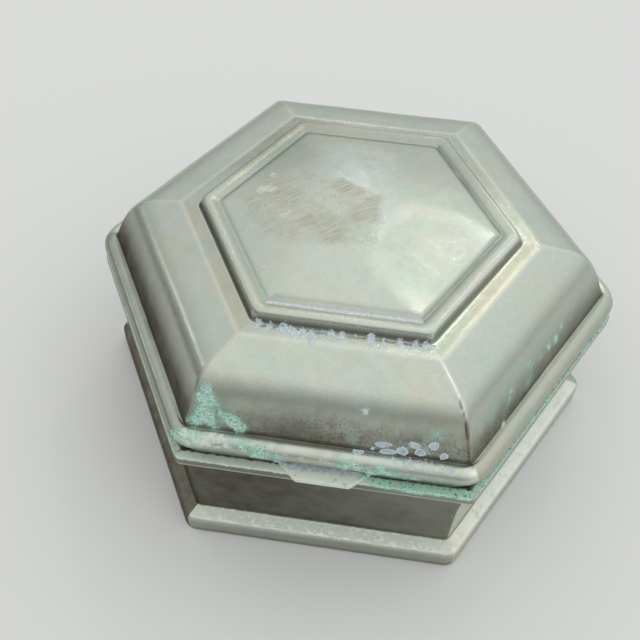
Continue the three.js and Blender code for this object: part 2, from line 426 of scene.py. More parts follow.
def grain_tree():
    """A tree that leaves only small rounded grains where a carrier's attribute is strong."""
    tree = bpy.data.node_groups.new("Grains on metal", "GeometryNodeTree")
    r = Recipe(tree)
    r.opening("Geometry", "NodeSocketGeometry", outward=True)
    r.opening("Carrier", "NodeSocketGeometry")
    r.opening("Where", "NodeSocketString", "verdigris")
    r.opening("Least", "NodeSocketFloat", 0.3)
    r.opening("Count", "NodeSocketFloat", 1e6)
    r.opening("Radius", "NodeSocketFloat", 0.0002)
    r.opening("Flatness", "NodeSocketFloat", 0.5)
    r.opening("Seed", "NodeSocketInt", 0)
    r.opening("Material", "NodeSocketMaterial")
    given = r.add("NodeGroupInput").outputs
    amount = r.add(
        "GeometryNodeInputNamedAttribute", {"Name": given["Where"]}, data_type="FLOAT").outputs[0]
    over = r.most(r.minus(amount, given["Least"]), 0.0)
    density = r.times(over, given["Count"])
    spread = r.add(
        "GeometryNodeDistributePointsOnFaces",
        {"Mesh": given["Carrier"], "Density": density, "Seed": given["Seed"]},
        distribute_method="RANDOM").outputs
    size = r.add(
        "FunctionNodeRandomValue", {2: 0.45, 3: 1.5, "Seed": given["Seed"]}, data_type="FLOAT").outputs[1]
    radius = r.times(size, given["Radius"])
    scale = r.add(
        "ShaderNodeCombineXYZ", {0: radius, 1: radius, 2: r.times(radius, given["Flatness"])}).outputs[0]
    grain = r.add("GeometryNodeMeshIcoSphere", {"Radius": 1.0, "Subdivisions": 1}).outputs[0]
    grains = r.add("GeometryNodeInstanceOnPoints", {
        "Points": spread["Points"], "Instance": grain,
        "Rotation": spread["Rotation"], "Scale": scale}).outputs[0]
    real = r.add("GeometryNodeRealizeInstances", {"Geometry": grains}).outputs[0]
    smooth = r.add("GeometryNodeSetShadeSmooth", {"Geometry": real}).outputs[0]
    dressed = r.add(
        "GeometryNodeSetMaterial", {"Geometry": smooth, "Material": given["Material"]}).outputs[0]
    r.add("NodeGroupOutput", {0: dressed})
    return tree


def grown(name, mesh, tree, **inputs):
    """A new object with the plain mesh that a tree makes from a mesh."""
    maker = bpy.data.objects.new(name + "_maker", mesh)
    bpy.context.scene.collection.objects.link(maker)
    modifier = maker.modifiers.new(name, "NODES")
    modifier.node_group = tree
    sockets = {item.name: item.identifier for item in tree.interface.items_tree if item.in_out == "INPUT"}
    for label, value in inputs.items():
        modifier[sockets[label.replace("_", " ")]] = value
    graph = bpy.context.evaluated_depsgraph_get()
    made = bpy.data.meshes.new_from_object(
        maker.evaluated_get(graph), preserve_all_data_layers=True, depsgraph=graph)
    maker.modifiers.remove(modifier)
    bpy.data.objects.remove(maker)
    dress(made, inputs["Material"])
    made.name = name
    piece = bpy.data.objects.new(name, made)
    bpy.context.scene.collection.objects.link(piece)
    return piece


def dress(mesh, material):
    """Gives every face of a mesh the one material."""
    mesh.materials.clear()
    mesh.materials.append(material)
    mesh.polygons.foreach_set("material_index", np.zeros(len(mesh.polygons), np.int32))


def lofted(name, levels, material):
    """The closed shell through a profile, in metres."""
    values = np.array(levels) * MM
    line = bpy.data.meshes.new(name + "_profile")
    line.from_pydata([(reach, 0, height) for reach, height, _ in values], [], [])
    for column, label in enumerate(("reach", "height", "corner")):
        line.attributes.new(label, "FLOAT", "POINT").data.foreach_set(
            "value", np.ascontiguousarray(values[:, column], np.float32))
    return grown(name, line, loft_tree(), Columns_a_Side=84, Corner_Share=0.143, Material=material)


# Relief, patina, painted shade, painted light and painted highlights on the metal

def swell(points, size, seed):
    """Smooth unevenness from -1 to 1 at each point, in swells of the given size."""
    grid = points / size + seed * 7.31
    cell = np.floor(grid).astype(np.int64)
    share = grid - cell
    share = share * share * (3 - 2 * share)
    total = np.zeros(len(points))
    for corner in itertools.product((0, 1), repeat=3):
        x, y, z = (cell + corner).T
        mixed = (x * 374761393 + y * 668265263 + z * 1442695041 + seed * 144269) & 0xFFFFFFFF
        mixed = ((mixed ^ (mixed >> 13)) * 1274126177) & 0xFFFFFFFF
        value = ((mixed ^ (mixed >> 16)) & 0xFFFF) / 32767.5 - 1
        total += value * np.prod(np.where(corner, share, 1 - share), axis=1)
    return total


def ramp(values, low, high):
    """0 below low, 1 above high, and a smooth rise between."""
    share = np.clip((values - low) / (high - low), 0, 1)
    return share * share * (3 - 2 * share)


def window(values, low, high, soft):
    """1 between low and high, falling softly to 0 outside them."""
    return ramp(values, low - soft, low + soft) * (1 - ramp(values, high - soft, high + soft))


def bell(values, place, width):
    """1 at a place, falling away like a bell on both sides of it."""
    return np.exp(-((values - place) / width) ** 2)


def spots(points, places):
    """The strongest of many round spots, each (x, y, z, radius, strength), at each point."""
    strongest = np.zeros(len(points))
    for x, y, z, radius, strength in places:
        far = np.linalg.norm(points - (x, y, z), axis=1) / radius
        strongest = np.maximum(strongest, strength * (1 - ramp(far, 0.5, 1.3)))
    return strongest


class Skin:
    """The points of a metal piece in millimetres, and where each lies on the hexagon."""

    def __init__(self, mesh):
        self.mesh = mesh
        count = len(mesh.vertices)
        flat = np.zeros(count * 3, np.float32)
        mesh.vertices.foreach_get("co", flat)
        self.points = flat.reshape(-1, 3).astype(float) / MM
        mesh.vertex_normals.foreach_get("vector", flat)
        self.normals = flat.reshape(-1, 3).astype(float)
        self.x, self.y, self.z = self.points.T
        turns = np.radians(30 + 60 * np.arange(SIDES))
        reaches = np.outer(self.x, np.cos(turns)) + np.outer(self.y, np.sin(turns))
        alongs = np.outer(self.y, np.cos(turns)) - np.outer(self.x, np.sin(turns))
        self.side = reaches.argmax(1)
        rows = np.arange(count)
        self.reach = reaches[rows, self.side]
        self.along = alongs[rows, self.side]
        self.bearing = 30 + 60 * self.side
        edge = self.reach * math.tan(HALF_CORNER)
        self.from_hip = edge - np.abs(self.along)

    def on(self, bearing):
        """1 on the flat side that faces a bearing in degrees, counted from +X."""
        return (self.bearing == bearing).astype(float)

    def raise_by(self, heights, low, high):
        """Moves each point out along its normal, and holds it inside the given box."""
        moved = (self.points + self.normals * heights[:, None]) * MM
        moved = np.clip(moved, low, high).astype(np.float32)
        self.mesh.vertices.foreach_set("co", moved.ravel())
        self.mesh.update()

    def paint(self, **layers):
        """Keeps each layer on the mesh as an attribute from 0 to 1."""
        for name, values in layers.items():
            layer = self.mesh.attributes.new(name, "FLOAT", "POINT")
            layer.data.foreach_set("value", np.clip(values, 0, 1).astype(np.float32))


# Places on the metal in millimetres: x, y, z, radius, strength
LID_VERDIGRIS = (
    (-24.1, -44.9, 47.8, 1.7, 0.8), (-24.0, -45.9, 46.1, 2.1, 0.95), (-22.8, -46.6, 44.7, 1.9, 0.9),
    (-24.6, -47.3, 43.2, 2.0, 0.95), (-22.0, -47.4, 42.8, 2.2, 1.0), (-25.3, -48.0, 41.4, 2.1, 0.75),
    (-22.3, -48.0, 41.2, 2.2, 1.0), (-19.6, -47.4, 42.6, 1.7, 0.85), (-18.4, -47.9, 41.6, 1.9, 1.0),
    (-17.2, -48.2, 40.7, 1.6, 0.95), (-27.0, -48.2, 40.7, 1.3, 0.5), (-19.2, -46.6, 44.6, 1.3, 0.45),
    (-29.6, -50.6, 38.8, 1.7, 0.75), (-26.2, -51.1, 38.6, 3.0, 0.46), (-23.4, -52.0, 36.8, 1.8, 0.5),
    (-15.4, -51.2, 39.0, 1.7, 0.75), (-12.8, -51.7, 38.0, 2.3, 0.95), (-10.2, -52.0, 37.2, 2.0, 0.9),
    (-13.2, -52.1, 36.8, 1.8, 0.8), (-18.4, -51.2, 39.0, 1.2, 0.5), (-8.0, -52.2, 36.4, 1.4, 0.7),
    (3.4, -52.0, 37.9, 1.5, 0.8), (5.4, -52.0, 37.6, 1.9, 1.0), (7.6, -52.1, 37.0, 1.9, 1.0),
    (9.6, -51.6, 35.6, 2.0, 1.0), (12.0, -52.0, 36.4, 2.1, 0.9), (14.8, -52.0, 36.4, 2.2, 0.85),
    (17.6, -52.0, 36.2, 2.1, 0.75), (20.6, -51.9, 36.0, 2.0, 0.65), (10.8, -51.9, 38.0, 1.4, 0.6),
    (9.0, -51.4, 34.4, 2.0, 0.95), (13.0, -51.4, 34.4, 2.2, 0.9), (17.0, -51.4, 34.4, 2.2, 0.7),
    (44.9, -15.6, 44.6, 1.1, 0.62), (44.1, -18.2, 43.3, 1.4, 0.7), (42.4, -20.5, 43.8, 1.5, 0.7),
    (40.6, -23.6, 44.0, 1.5, 0.5), (38.4, -26.8, 44.6, 1.6, 0.6), (36.4, -28.6, 46.2, 1.4, 0.5),
    (38.4, -28.4, 42.0, 2.0, 0.45), (34.0, -34.4, 43.6, 2.4, 0.5), (30.6, -39.6, 44.6, 2.4, 0.5),
    (28.6, -43.6, 44.6, 1.8, 0.5), (21.0, -46.4, 45.0, 1.8, 0.4), (4.8, -47.9, 41.6, 1.4, 0.5),
)
LID_CRUST = (
    (-16.4, -31.2, 52.5, 1.0, 0.8), (-14.0, -31.4, 52.5, 0.9, 0.7), (-11.4, -31.7, 52.5, 1.2, 0.9),
    (-9.6, -32.0, 52.5, 1.3, 0.95), (-7.6, -31.9, 52.5, 1.1, 0.85), (-5.8, -31.7, 52.5, 0.9, 0.8),
    (-3.6, -31.4, 52.5, 0.7, 0.6), (-1.9, -31.6, 52.5, 1.0, 0.9), (0.2, -31.6, 52.5, 0.9, 0.85),
    (2.6, -31.3, 52.5, 0.6, 0.6), (5.9, -31.4, 52.5, 1.0, 1.0), (8.4, -31.5, 52.5, 0.7, 0.7),
    (11.6, -31.5, 52.5, 0.9, 0.85), (14.6, -31.5, 52.5, 0.9, 0.85), (16.6, -31.5, 52.5, 0.9, 0.8),
    (18.2, -31.4, 52.5, 0.8, 0.7), (-12.6, -32.4, 52.5, 1.1, 0.5), (-8.4, -32.8, 52.5, 1.3, 0.55),
    (-4.4, -32.6, 52.5, 1.2, 0.5), (-0.6, -32.5, 52.5, 1.3, 0.5), (6.4, -32.4, 52.5, 1.2, 0.5),
    (-5.3, -34.3, 52.3, 0.9, 0.7), (-7.0, -34.9, 52.2, 0.7, 0.5), (8.1, -43.3, 49.6, 0.6, 0.7),
    (6.7, -45.1, 47.5, 0.8, 0.6), (9.0, -48.4, 40.2, 0.7, 0.8), (-27.2, -48.3, 40.6, 1.2, 0.42),
    (-19.0, -51.0, 39.1, 0.9, 0.6), (-15.0, -50.9, 39.2, 0.5, 0.7), (-9.2, -50.5, 39.3, 0.5, 0.8),
    (16.4, -50.2, 39.4, 1.8, 0.46), (19.6, -50.3, 39.4, 1.8, 0.46), (22.8, -50.4, 39.3, 1.4, 0.42),
    (13.4, -50.0, 39.4, 1.2, 0.44), (15.6, -48.0, 41.2, 1.8, 0.34), (19.4, -47.9, 41.3, 1.8, 0.34),
    (33.9, -38.6, 39.4, 0.9, 0.7), (2.2, -50.6, 39.3, 1.0, 0.5),
)
TAB_CRUST = (
    (-9.6, -50.5, 33.8, 1.0, 0.75), (-8.0, -51.0, 33.8, 1.1, 1.0), (-6.2, -51.2, 33.8, 1.2, 1.0),
    (-4.2, -51.2, 33.8, 1.2, 1.0), (-2.2, -51.1, 33.8, 1.1, 0.95), (-0.2, -51.2, 33.8, 1.1, 1.0),
    (1.8, -51.1, 33.8, 1.1, 0.95), (3.6, -51.1, 33.8, 1.0, 0.9), (5.2, -51.0, 33.8, 0.8, 0.7),
)
# x, y, z, radius, stretch along the bead, paleness of the rim
CRUST_FLAKES = (
    (10.8, -48.0, 41.3, 0.75, 2.2, 0.3), (11.9, -48.6, 39.8, 0.8, 1.9, 0.8),
    (14.6, -48.3, 40.4, 1.1, 0.95, 1.0), (16.8, -47.7, 42.1, 0.8, 1.5, 0.4),
    (18.0, -48.2, 40.7, 0.85, 1.3, 1.0), (20.4, -47.5, 42.5, 0.9, 1.2, 0.8),
    (22.6, -48.3, 40.5, 0.75, 1.1, 1.0), (6.2, -49.2, 39.3, 0.8, 1.3, 0.9),
    (24.3, -50.8, 39.3, 0.75, 0.9, 1.0),
)
# Plan corners (x, y) of the glue residue on the panel
RESIDUE_CORNERS = (
    (-28.1, 3.7), (-14.9, 11.9), (-4.0, 10.2), (5.0, 5.4), (6.6, -3.0), (5.0, -10.0), (-3.0, -11.6),
    (-11.1, -12.4), (-20.4, -10.6), (-24.6, -4.0),
)


def inside_outline(points, corners):
    """How far each plan point lies inside a closed outline, in millimetres, negative outside."""
    nearest = np.full(len(points), 1e9)
    inside = np.zeros(len(points), bool)
    for start, end in zip(corners, corners[1:] + corners[:1]):
        start, end = np.array(start), np.array(end)
        run = end - start
        share = np.clip((points - start) @ run / (run @ run), 0, 1)
        nearest = np.minimum(nearest, np.linalg.norm(points - start - share[:, None] * run, axis=1))
        crossing = (start[1] > points[:, 1]) != (end[1] > points[:, 1])
        at = start[0] + (points[:, 1] - start[1]) * run[0] / (run[1] if run[1] else 1e-9)
        inside ^= crossing & (points[:, 0] < at)
    return np.where(inside, nearest, -nearest)


def weather_lid(mesh, low, high):
    """Gives the lid its cast unevenness, its worn corners, the places of its patina, and its painted
    shade, painted light and painted highlights.

    The reaches and heights are those of the lid's profile, in millimetres.
    """
    skin = Skin(mesh)
    points, x, y, z, reach = skin.points, skin.x, skin.y, skin.z, skin.reach
    front, left, right = skin.on(270), skin.on(210), skin.on(330)
    back = 1 - front - left - right
    tab = ramp(-y, 50.45, 50.7) * (1 - ramp(z, 33.9, 34.1)) * (np.abs(x) < 12)
    shell = ramp(z, 32.9, 33.4) * ramp(skin.normals @ np.array((0, 0, 1.0)), -0.75, -0.35)
    outside = np.maximum(shell, tab)
    shoulder = shell * window(reach, 34.6, 48.6, 0.3) * ramp(z, 38.2, 39.2)
    bead = shell * ramp(reach, 48.9, 49.6)
    top = shell * (1 - ramp(reach, 33.6, 34.4))
    ring = shell * window(reach, 31.3, 34.6, 0.2)
    band = shell * window(reach, 27.2, 30.2, 0.3)

    uneven = 0.72 + 0.35 * swell(points, 1.3, 3) + 0.35 * swell(points, 2.6, 7)
    groove = bell(reach, 26.7, 0.4) * top * ramp(z, 53.0, 53.5)
    verdigris = spots(points, LID_VERDIGRIS) * shell * uneven
    groove_green = 0.36 * left + 0.26 * right
    groove_green += 0.30 * skin.on(30) + 0.25 * skin.on(90) + 0.22 * skin.on(150)
    verdigris = np.maximum(verdigris, groove * groove_green * (1 + 0.5 * swell(points, 3, 4)))
    crust = np.maximum(spots(points, LID_CRUST), spots(points, TAB_CRUST))
    crust *= 1.10 + 0.4 * swell(points, 0.9, 5)
    crust = np.maximum(crust, bell(reach, 26.9, 0.3) * top * front * (1.15 + 0.3 * swell(points, 4, 6)))
    fringe = bell(reach, 32.2, 0.45) * shell * front * window(x, -17.5, 18, 1.5)
    crust = np.maximum(crust, fringe * (0.50 + 0.45 * swell(points, 1.7, 9)))

    neck = bell(reach, 48.8, 0.45) * window(z, 38.9, 40.3, 0.3)
    frame_side = shell * window(reach, 30.5, 31.25, 0.12) * window(z, 52.3, 53.9, 0.2)
    slope_low = shoulder * (1 - ramp(z, 40.0, 48.0))
    # Dark dirt and painted shade on the frame's outer step, strongest at the front and left; the groove
    # and a band inside it at the front are darker.
    tarnish = frame_side * (0.95 * front + 0.85 * left + 0.55 * right + 0.3 * back)
    tarnish += 0.20 * groove + 0.26 * front * window(reach, 24.9, 26.2, 0.5) * top
    # Painted shade along the panel's edge at the right and back right.
    tarnish += 0.50 * (right + skin.on(30)) * bell(reach, 26.8, 0.7) * top
    # Painted shade in the crease of the neck above the bead, stronger at the front and left.
    tarnish += neck * (0.95 * front + 0.6 * right + 0.8 * left + 0.6 * back) * (
        0.9 + 0.3 * swell(points, 5, 11))
    # The lower front shoulder is tarnished brown, and darker towards the neck as painted shade.
    tarnish += front * slope_low * (0.50 + 0.20 * swell(points, 8, 13) - 0.12 * ramp(x, 4, 14))
    tarnish += front * shoulder * (1 - ramp(z, 43.0, 49.5)) * window(x, -22, 1, 3) * 0.18
    # Painted shade: the left shoulder, the left bead and the lower right and back shoulders are darkened
    # where less light falls on them.
    tarnish += left * shoulder * (0.25 * (1 - ramp(z, 44, 51.5)) + 0.75 * (1 - ramp(z, 39.5, 49.0)))
    tarnish += left * bead * 0.45 + right * slope_low * 0.50 + back * slope_low * 0.35
    # More painted shade that tones down the rings at the left and right, the top panel towards the back
    # and left, the back and the right shoulder.
    tarnish += 0.12 * ring * left + 0.12 * ring * right + 0.18 * left * shoulder
    tarnish += top * (0.26 * ramp(y, 2, 20) + 0.18 * (1 - ramp(x, -22, -6)))
    tarnish += (0.10 * ring + 0.10 * shoulder + 0.06 * band) * back
    tarnish += 0.10 * right * shoulder
    # Painted shade on the bead's underside all round, and on the right bead.
    tarnish += right * bead * 0.14 + bead * (1 - ramp(z, 36.2, 38.2)) * (
        0.45 * front + 0.3 * right + 0.4 * left + 0.4 * back)
    # Painted shadow in the gap under the bead and on the lid's underside; the tab is darkened a little.
    tarnish += (1 - outside) * 0.55 + tab * 0.05
    # The tab's pale coat is partly painted light that lifts the bead's shadow on it; a chalky coat on the
    # front left bead and along the front bead's top.
    bloom = tab * (0.86 + 0.15 * swell(points, 2.0, 16)) + 0.34 * bead * front * (1 - ramp(x, -24, -14))
    bloom += 0.25 * bead * front * window(z, 38.0, 39.6, 0.3)

    grime = front * shoulder * (1 - ramp(z, 41.5, 48.5)) * 0.85 + front * shoulder * 0.16
    grime += right * shoulder * (1 - ramp(z, 41.0, 46.5)) * (0.45 + 0.4 * ramp(-y, 20, 36))
    grime += 0.4 * neck * front
    grime += front * bead * (0.25 + 0.5 * (1 - ramp(z, 36.6, 38.2))) + 0.10 * top + 0.12 * ring
    grime += 0.1 * (left + back) * shoulder + 0.15 * tab
    grime *= outside * (0.8 + 0.35 * swell(points, 4.0, 14))

    hip = bell(skin.from_hip, 0, 0.45) * shoulder
    seam_highlight = hip * front * (x > 0)
    cut = bell(skin.from_hip, 0.5, 0.4) * front * (x > 0) * shoulder
    gouge = cut * window(z, 44.9, 48.0, 0.5)
    dashes = cut * window(z, 48.6, 51.0, 0.4) * ramp(swell(points, 0.8, 15), -0.1, 0.3)
    fine_cut = cut * (1 - ramp(z, 44.5, 45.5)) * 0.5
    tarnish += 1.1 * gouge + 0.8 * dashes + fine_cut
    ridge = bell(reach, 34.3, 0.5) * shell
    tab_half = 11.5 - 6.1 * (-y - 48.55) / 5.5
    tab_edge = np.maximum(bell(-y, 53.9, 0.45), bell(tab_half, np.abs(x), 0.55))
    # Rubbed places and painted highlights: a faint painted highlight along the ridge, a bright painted
    # highlight along the front right hip, rubbed hips elsewhere, and the tab's worn edge, partly a
    # painted highlight.
    wear = 0.18 * ridge + 1.1 * seam_highlight * window(z, 48.5, 52.2, 0.4)
    wear += 0.25 * hip * (1 - front) + tab * tab_edge
    # Painted highlights along the front bead's top, on the right frame's crest, partly worn, and on the
    # bead at the front right hip.
    wear += 0.20 * bead * front * window(z, 38.7, 39.6, 0.2) * (x > -16)
    wear += 0.75 * right * bell(reach, 30.2, 0.35) * shell * ramp(z, 53.8, 54.2)
    wear += 0.9 * bell(skin.from_hip, 0, 1.6) * front * (x > 0) * bead * window(z, 38.0, 39.3, 0.3)

    patch = inside_outline(points[:, :2] + 0.9 * np.stack(
        [swell(points, 3.0, 21), swell(points, 3.0, 22)], 1), RESIDUE_CORNERS)
    residue = ramp(patch, -1.6, 2.6) * top * (0.58 + 0.3 * swell(points, 4.0, 23))
    blotches = spots(points, (
        (-22.1, 4.1, 54.7, 1.8, 0.6), (-20.2, 4.8, 54.8, 1.5, 0.6), (-16.2, -3.3, 55.2, 1.2, 0.6),
        (-15.2, -2.2, 55.2, 1.1, 0.55), (-22.5, -7.5, 54.6, 1.2, 0.6), (-17.6, -18.0, 54.3, 1.0, 0.55),
        (1.2, 5.4, 55.7, 0.9, 0.75), (3.3, -8.0, 55.6, 2.0, 0.5), (-20.6, 9.6, 54.5, 1.1, 0.55)))
    grit = 0.10 * top + 0.9 * spots(points, ((16.0, -9.0, 55.2, 13.0, 1.0),)) * top
    grit += 0.6 * right * bell(reach, 34.6, 0.6) * shell + 0.1 * skin.on(150) * band
    polish = (0.5 + 0.45 * ramp(-y, 18, 34)) * left + 0.35 * right + 0.25 * back
    polish = shell * (polish + 0.15 * front * ramp(z, 47, 51))
    polish = np.maximum(polish * (1 - bead * right), 0.85 * top + 0.6 * ring * right)
    warm = 0.8 * ring * (left + right) + 0.55 * right * bead + 0.5 * tab + 0.3 * band
    warm += 0.25 * front * shoulder
    warm += 0.5 * swell(points, 9.0, 24) * outside + 0.15

    relief = (0.075 * swell(points, 15, 31) + 0.035 * swell(points, 6, 32)) * (outside * 0.8 + 0.2)
    relief += 0.018 * swell(points, 2.4, 33) * outside * (1 - 0.7 * left)
    relief -= 0.32 * gouge + 0.12 * dashes + 0.1 * fine_cut
    relief += ramp(verdigris, 0.3, 0.8) * (0.07 + 0.08 * swell(points, 1.1, 36))
    relief += ramp(crust, 0.3, 0.8) * (0.08 + 0.08 * swell(points, 1.0, 37))
    relief += 0.02 * residue * swell(points, 1.4, 38)
    skin.raise_by(relief, low, high)
    skin.paint(
        verdigris=verdigris, crust=crust, tarnish=tarnish, grime=grime, wear=wear, residue=residue,
        blotch=blotches, polish=polish, warm=warm, bloom=bloom, grit=grit,
        dull=bead * (0.9 * right + 0.25 * front))


def weather_body(mesh, low, high):
    """Gives the body its unevenness, the places of its patina, and its painted shade, painted light and
    painted highlights.

    The reaches and heights are those of the body's profile, in millimetres.
    """
    skin = Skin(mesh)
    points, x, z, reach = skin.points, skin.x, skin.z, skin.reach
    front, left, right = skin.on(270), skin.on(210), skin.on(330)
    back = 1 - front - left - right
    wall = window(z, 6.6, 29.2, 0.4) * (reach > 47.9)
    rim_top = ramp(z, 31.8, 32.1) * ramp(reach, 46.8, 47.4)
    rim_edge = ramp(reach, 51.4, 51.8) * ramp(z, 29.4, 29.7) * (1 - rim_top)
    moulding = (1 - ramp(z, 6.1, 6.6)) * ramp(reach, 47.5, 49.2)
    moulding_top = moulding * ramp(z, 4.4, 5.4)
    rim_edge_highlight_line = rim_edge * bell(z, 30.0, 0.35) * front

    rim_front = 0.18 + 0.12 * (1 - ramp(x, -20, -8)) + 0.66 * ramp(x, 8, 11)
    rim_green = rim_top * (front * rim_front + right * 0.6 + left * 0.4 + back * 0.4)
    rim_green += rim_edge * ramp(z, 30.4, 31.4) * (front * (0.25 + 0.35 * ramp(x, 9, 14)) + right * 0.3)
    # Chalky coat on the rim top, strongest at the front, which is partly painted light lifting the strip
    # the lid shades; on the moulding's top at the front and right it is painted light as well.
    bloom = rim_top * (0.95 * front + 0.5 * right + 0.5 * left + 0.3 * back)
    bloom += rim_edge * front * ramp(z, 31.5, 32.1) * 0.8
    bloom += (moulding_top + 0.25 * moulding) * (0.4 * front + 0.25 * right)
    verdigris = rim_green * (0.85 + 0.4 * swell(points, 2.0, 41))
    crust = rim_top * front * (0.62 * (1 - ramp(x, 6, 9))) * ramp(swell(points, 2.4, 42), -0.3, 0.6)
    crust += rim_top * 0.2 * ramp(swell(points, 2.0, 45), 0.2, 0.8)

    # Where the rim top lies outside the bead's shadow; under the bead it keeps no pale coat, salts or
    # crust.
    lit = ramp(reach, 50.2, 50.55) * rim_top + 1 - rim_top
    bloom, verdigris, crust = bloom * lit, verdigris * lit, crust * lit

    foot_line = bell(z, 6.7, 0.7) * ramp(reach, 47.5, 48.5)
    # Tarnished walls, darker on the left, the back and the front as painted shade; painted shade in the
    # crease along the wall's foot.
    tarnish = wall * (front * (0.95 - 0.25 * ramp(x, -22, 24)) + right * 0.06 + left * 1.0 + back * 0.6)
    tarnish += wall * 0.08 * swell(points, 9, 43) * (1 - right) + foot_line * (0.3 - 0.2 * right)
    face = moulding - moulding_top
    # Painted shade on the moulding: its upright face, all of it on the left and at the back, and its
    # lowest part at the front.
    tarnish += face * (0.28 * front + 0.04 * right + 1.0 * left + 0.4 * back)
    tarnish += moulding_top * (0.02 * front + 1.0 * left + 0.3 * back)
    tarnish += moulding * (1 - ramp(z, 0.9, 2.0)) * 0.35 * front
    # Dark tarnishing and painted shade on the rim's outer edge under the lid, lighter on the right.
    tarnish += rim_edge * (
        0.82 * front * (1 - 0.2 * ramp(x, 9, 20)) + 0.25 * right + 0.8 * left + 0.5 * back)
    # The thin line under the rim's edge is kept lighter, as a painted highlight; the rim top under the
    # bead gets a painted shadow.
    tarnish = tarnish * (1 - 0.8 * rim_edge_highlight_line) + (1 - lit) * 1.2
    inside = (1 - wall) * (1 - moulding) * (1 - rim_edge) * (1 - rim_top)
    tarnish += inside * 0.55
    # Painted highlights along the moulding's rounded nose and on the thin line under the rim's edge;
    # rubbing and painted light on the moulding's top at the front and right.
    wear = 0.5 * bell(reach, 51.7, 0.5) * window(z, 3.8, 5.4, 0.4)
    wear += 0.7 * rim_edge_highlight_line + moulding_top * (0.15 * front + 0.3 * right)
    grime = wall * 0.1 * back + 0.2 * rim_edge * front + 0.12 * moulding
    polish = wall * (0.5 * right + 0.2) + 0.35 * moulding
    warm = 0.25 + 0.35 * swell(points, 9.0, 44) + 0.45 * right * ramp(swell(points, 14, 46), -0.1, 0.6)

    relief = 0.06 * swell(points, 14, 51) + 0.03 * swell(points, 5, 52) + 0.012 * swell(points, 2, 53)
    relief *= np.where(z < 0.4, 0.0, 1.0)
    relief += ramp(verdigris, 0.35, 0.9) * (0.05 + 0.05 * swell(points, 1.1, 54))
    skin.raise_by(relief, low, high)
    none = np.zeros(len(z))
    skin.paint(
        verdigris=verdigris, crust=crust, tarnish=tarnish, grime=grime, wear=wear, residue=none,
        blotch=none, polish=polish, warm=warm, bloom=bloom, grit=none, dull=none)


# Finishes

def new_finish(name):
    """An empty node material and its shader."""
    material = bpy.data.materials.new(name)
    material.use_nodes = True
    recipe = Recipe(material.node_tree)
    return material, recipe, material.node_tree.nodes["Principled BSDF"]


class Patina(Recipe):
    """The parts that every finish of the box is mixed from."""

    def __init__(self, tree):
        super().__init__(tree)
        self.place = self.add("ShaderNodeTexCoord").outputs["Object"]

    def layer(self, name):
        return self.add(
            "ShaderNodeAttribute", attribute_type="GEOMETRY", attribute_name=name).outputs["Fac"]

    def mottle(self, size, detail=3.0, low=0.3, high=0.7, place=None):
        """Noise with swells of a size in millimetres, stretched to fill 0 to 1."""
        noise = self.add("ShaderNodeTexNoise", {
            "Vector": place or self.place, "Scale": 1000 / size,
            "Detail": detail, "Roughness": 0.6}).outputs["Fac"]
        return self.add("ShaderNodeMapRange", {
            "Value": noise, "From Min": low, "From Max": high}).outputs[0]

    def cells(self, size):
        """Distance from the middle of small cells of a size in millimetres."""
        return self.add("ShaderNodeTexVoronoi", {
            "Vector": self.place, "Scale": 1000 / size, "Randomness": 1.0}).outputs["Distance"]

    def cover(self, amount, grain, soft):
        """Where a layer with this amount covers, broken up by the grain."""
        level = self.minus(1 + soft, self.times(amount, 1 + 2 * soft))
        return self.add("ShaderNodeMapRange", {
            "Value": grain, "From Min": self.minus(level, soft),
            "From Max": self.plus(level, soft)}, interpolation_type="SMOOTHSTEP").outputs[0]

    def blend(self, share, under, over, kind="MIX"):
        feeds = {0: share, 6: under, 7: over}
        for socket, value in list(feeds.items()):
            if socket and not isinstance(value, bpy.types.NodeSocket):
                feeds[socket] = (*value, 1.0)
        return self.add("ShaderNodeMix", feeds, data_type="RGBA", blend_type=kind).outputs[2]

    def between(self, share, under, over):
        return self.add("ShaderNodeMix", {0: share, 2: under, 3: over}, data_type="FLOAT").outputs[0]

    def strokes(self, size, length_of, turn, low, high):
        """Fine strokes in the plan, long in one direction."""
        turned = self.add("ShaderNodeMapping", {
            "Vector": self.place, "Rotation": (0.0, 0.0, turn),
            "Scale": (length_of / size, 1.0, 1.0)}, vector_type="TEXTURE").outputs[0]
        return self.mottle(size, 2.0, low, high, turned)


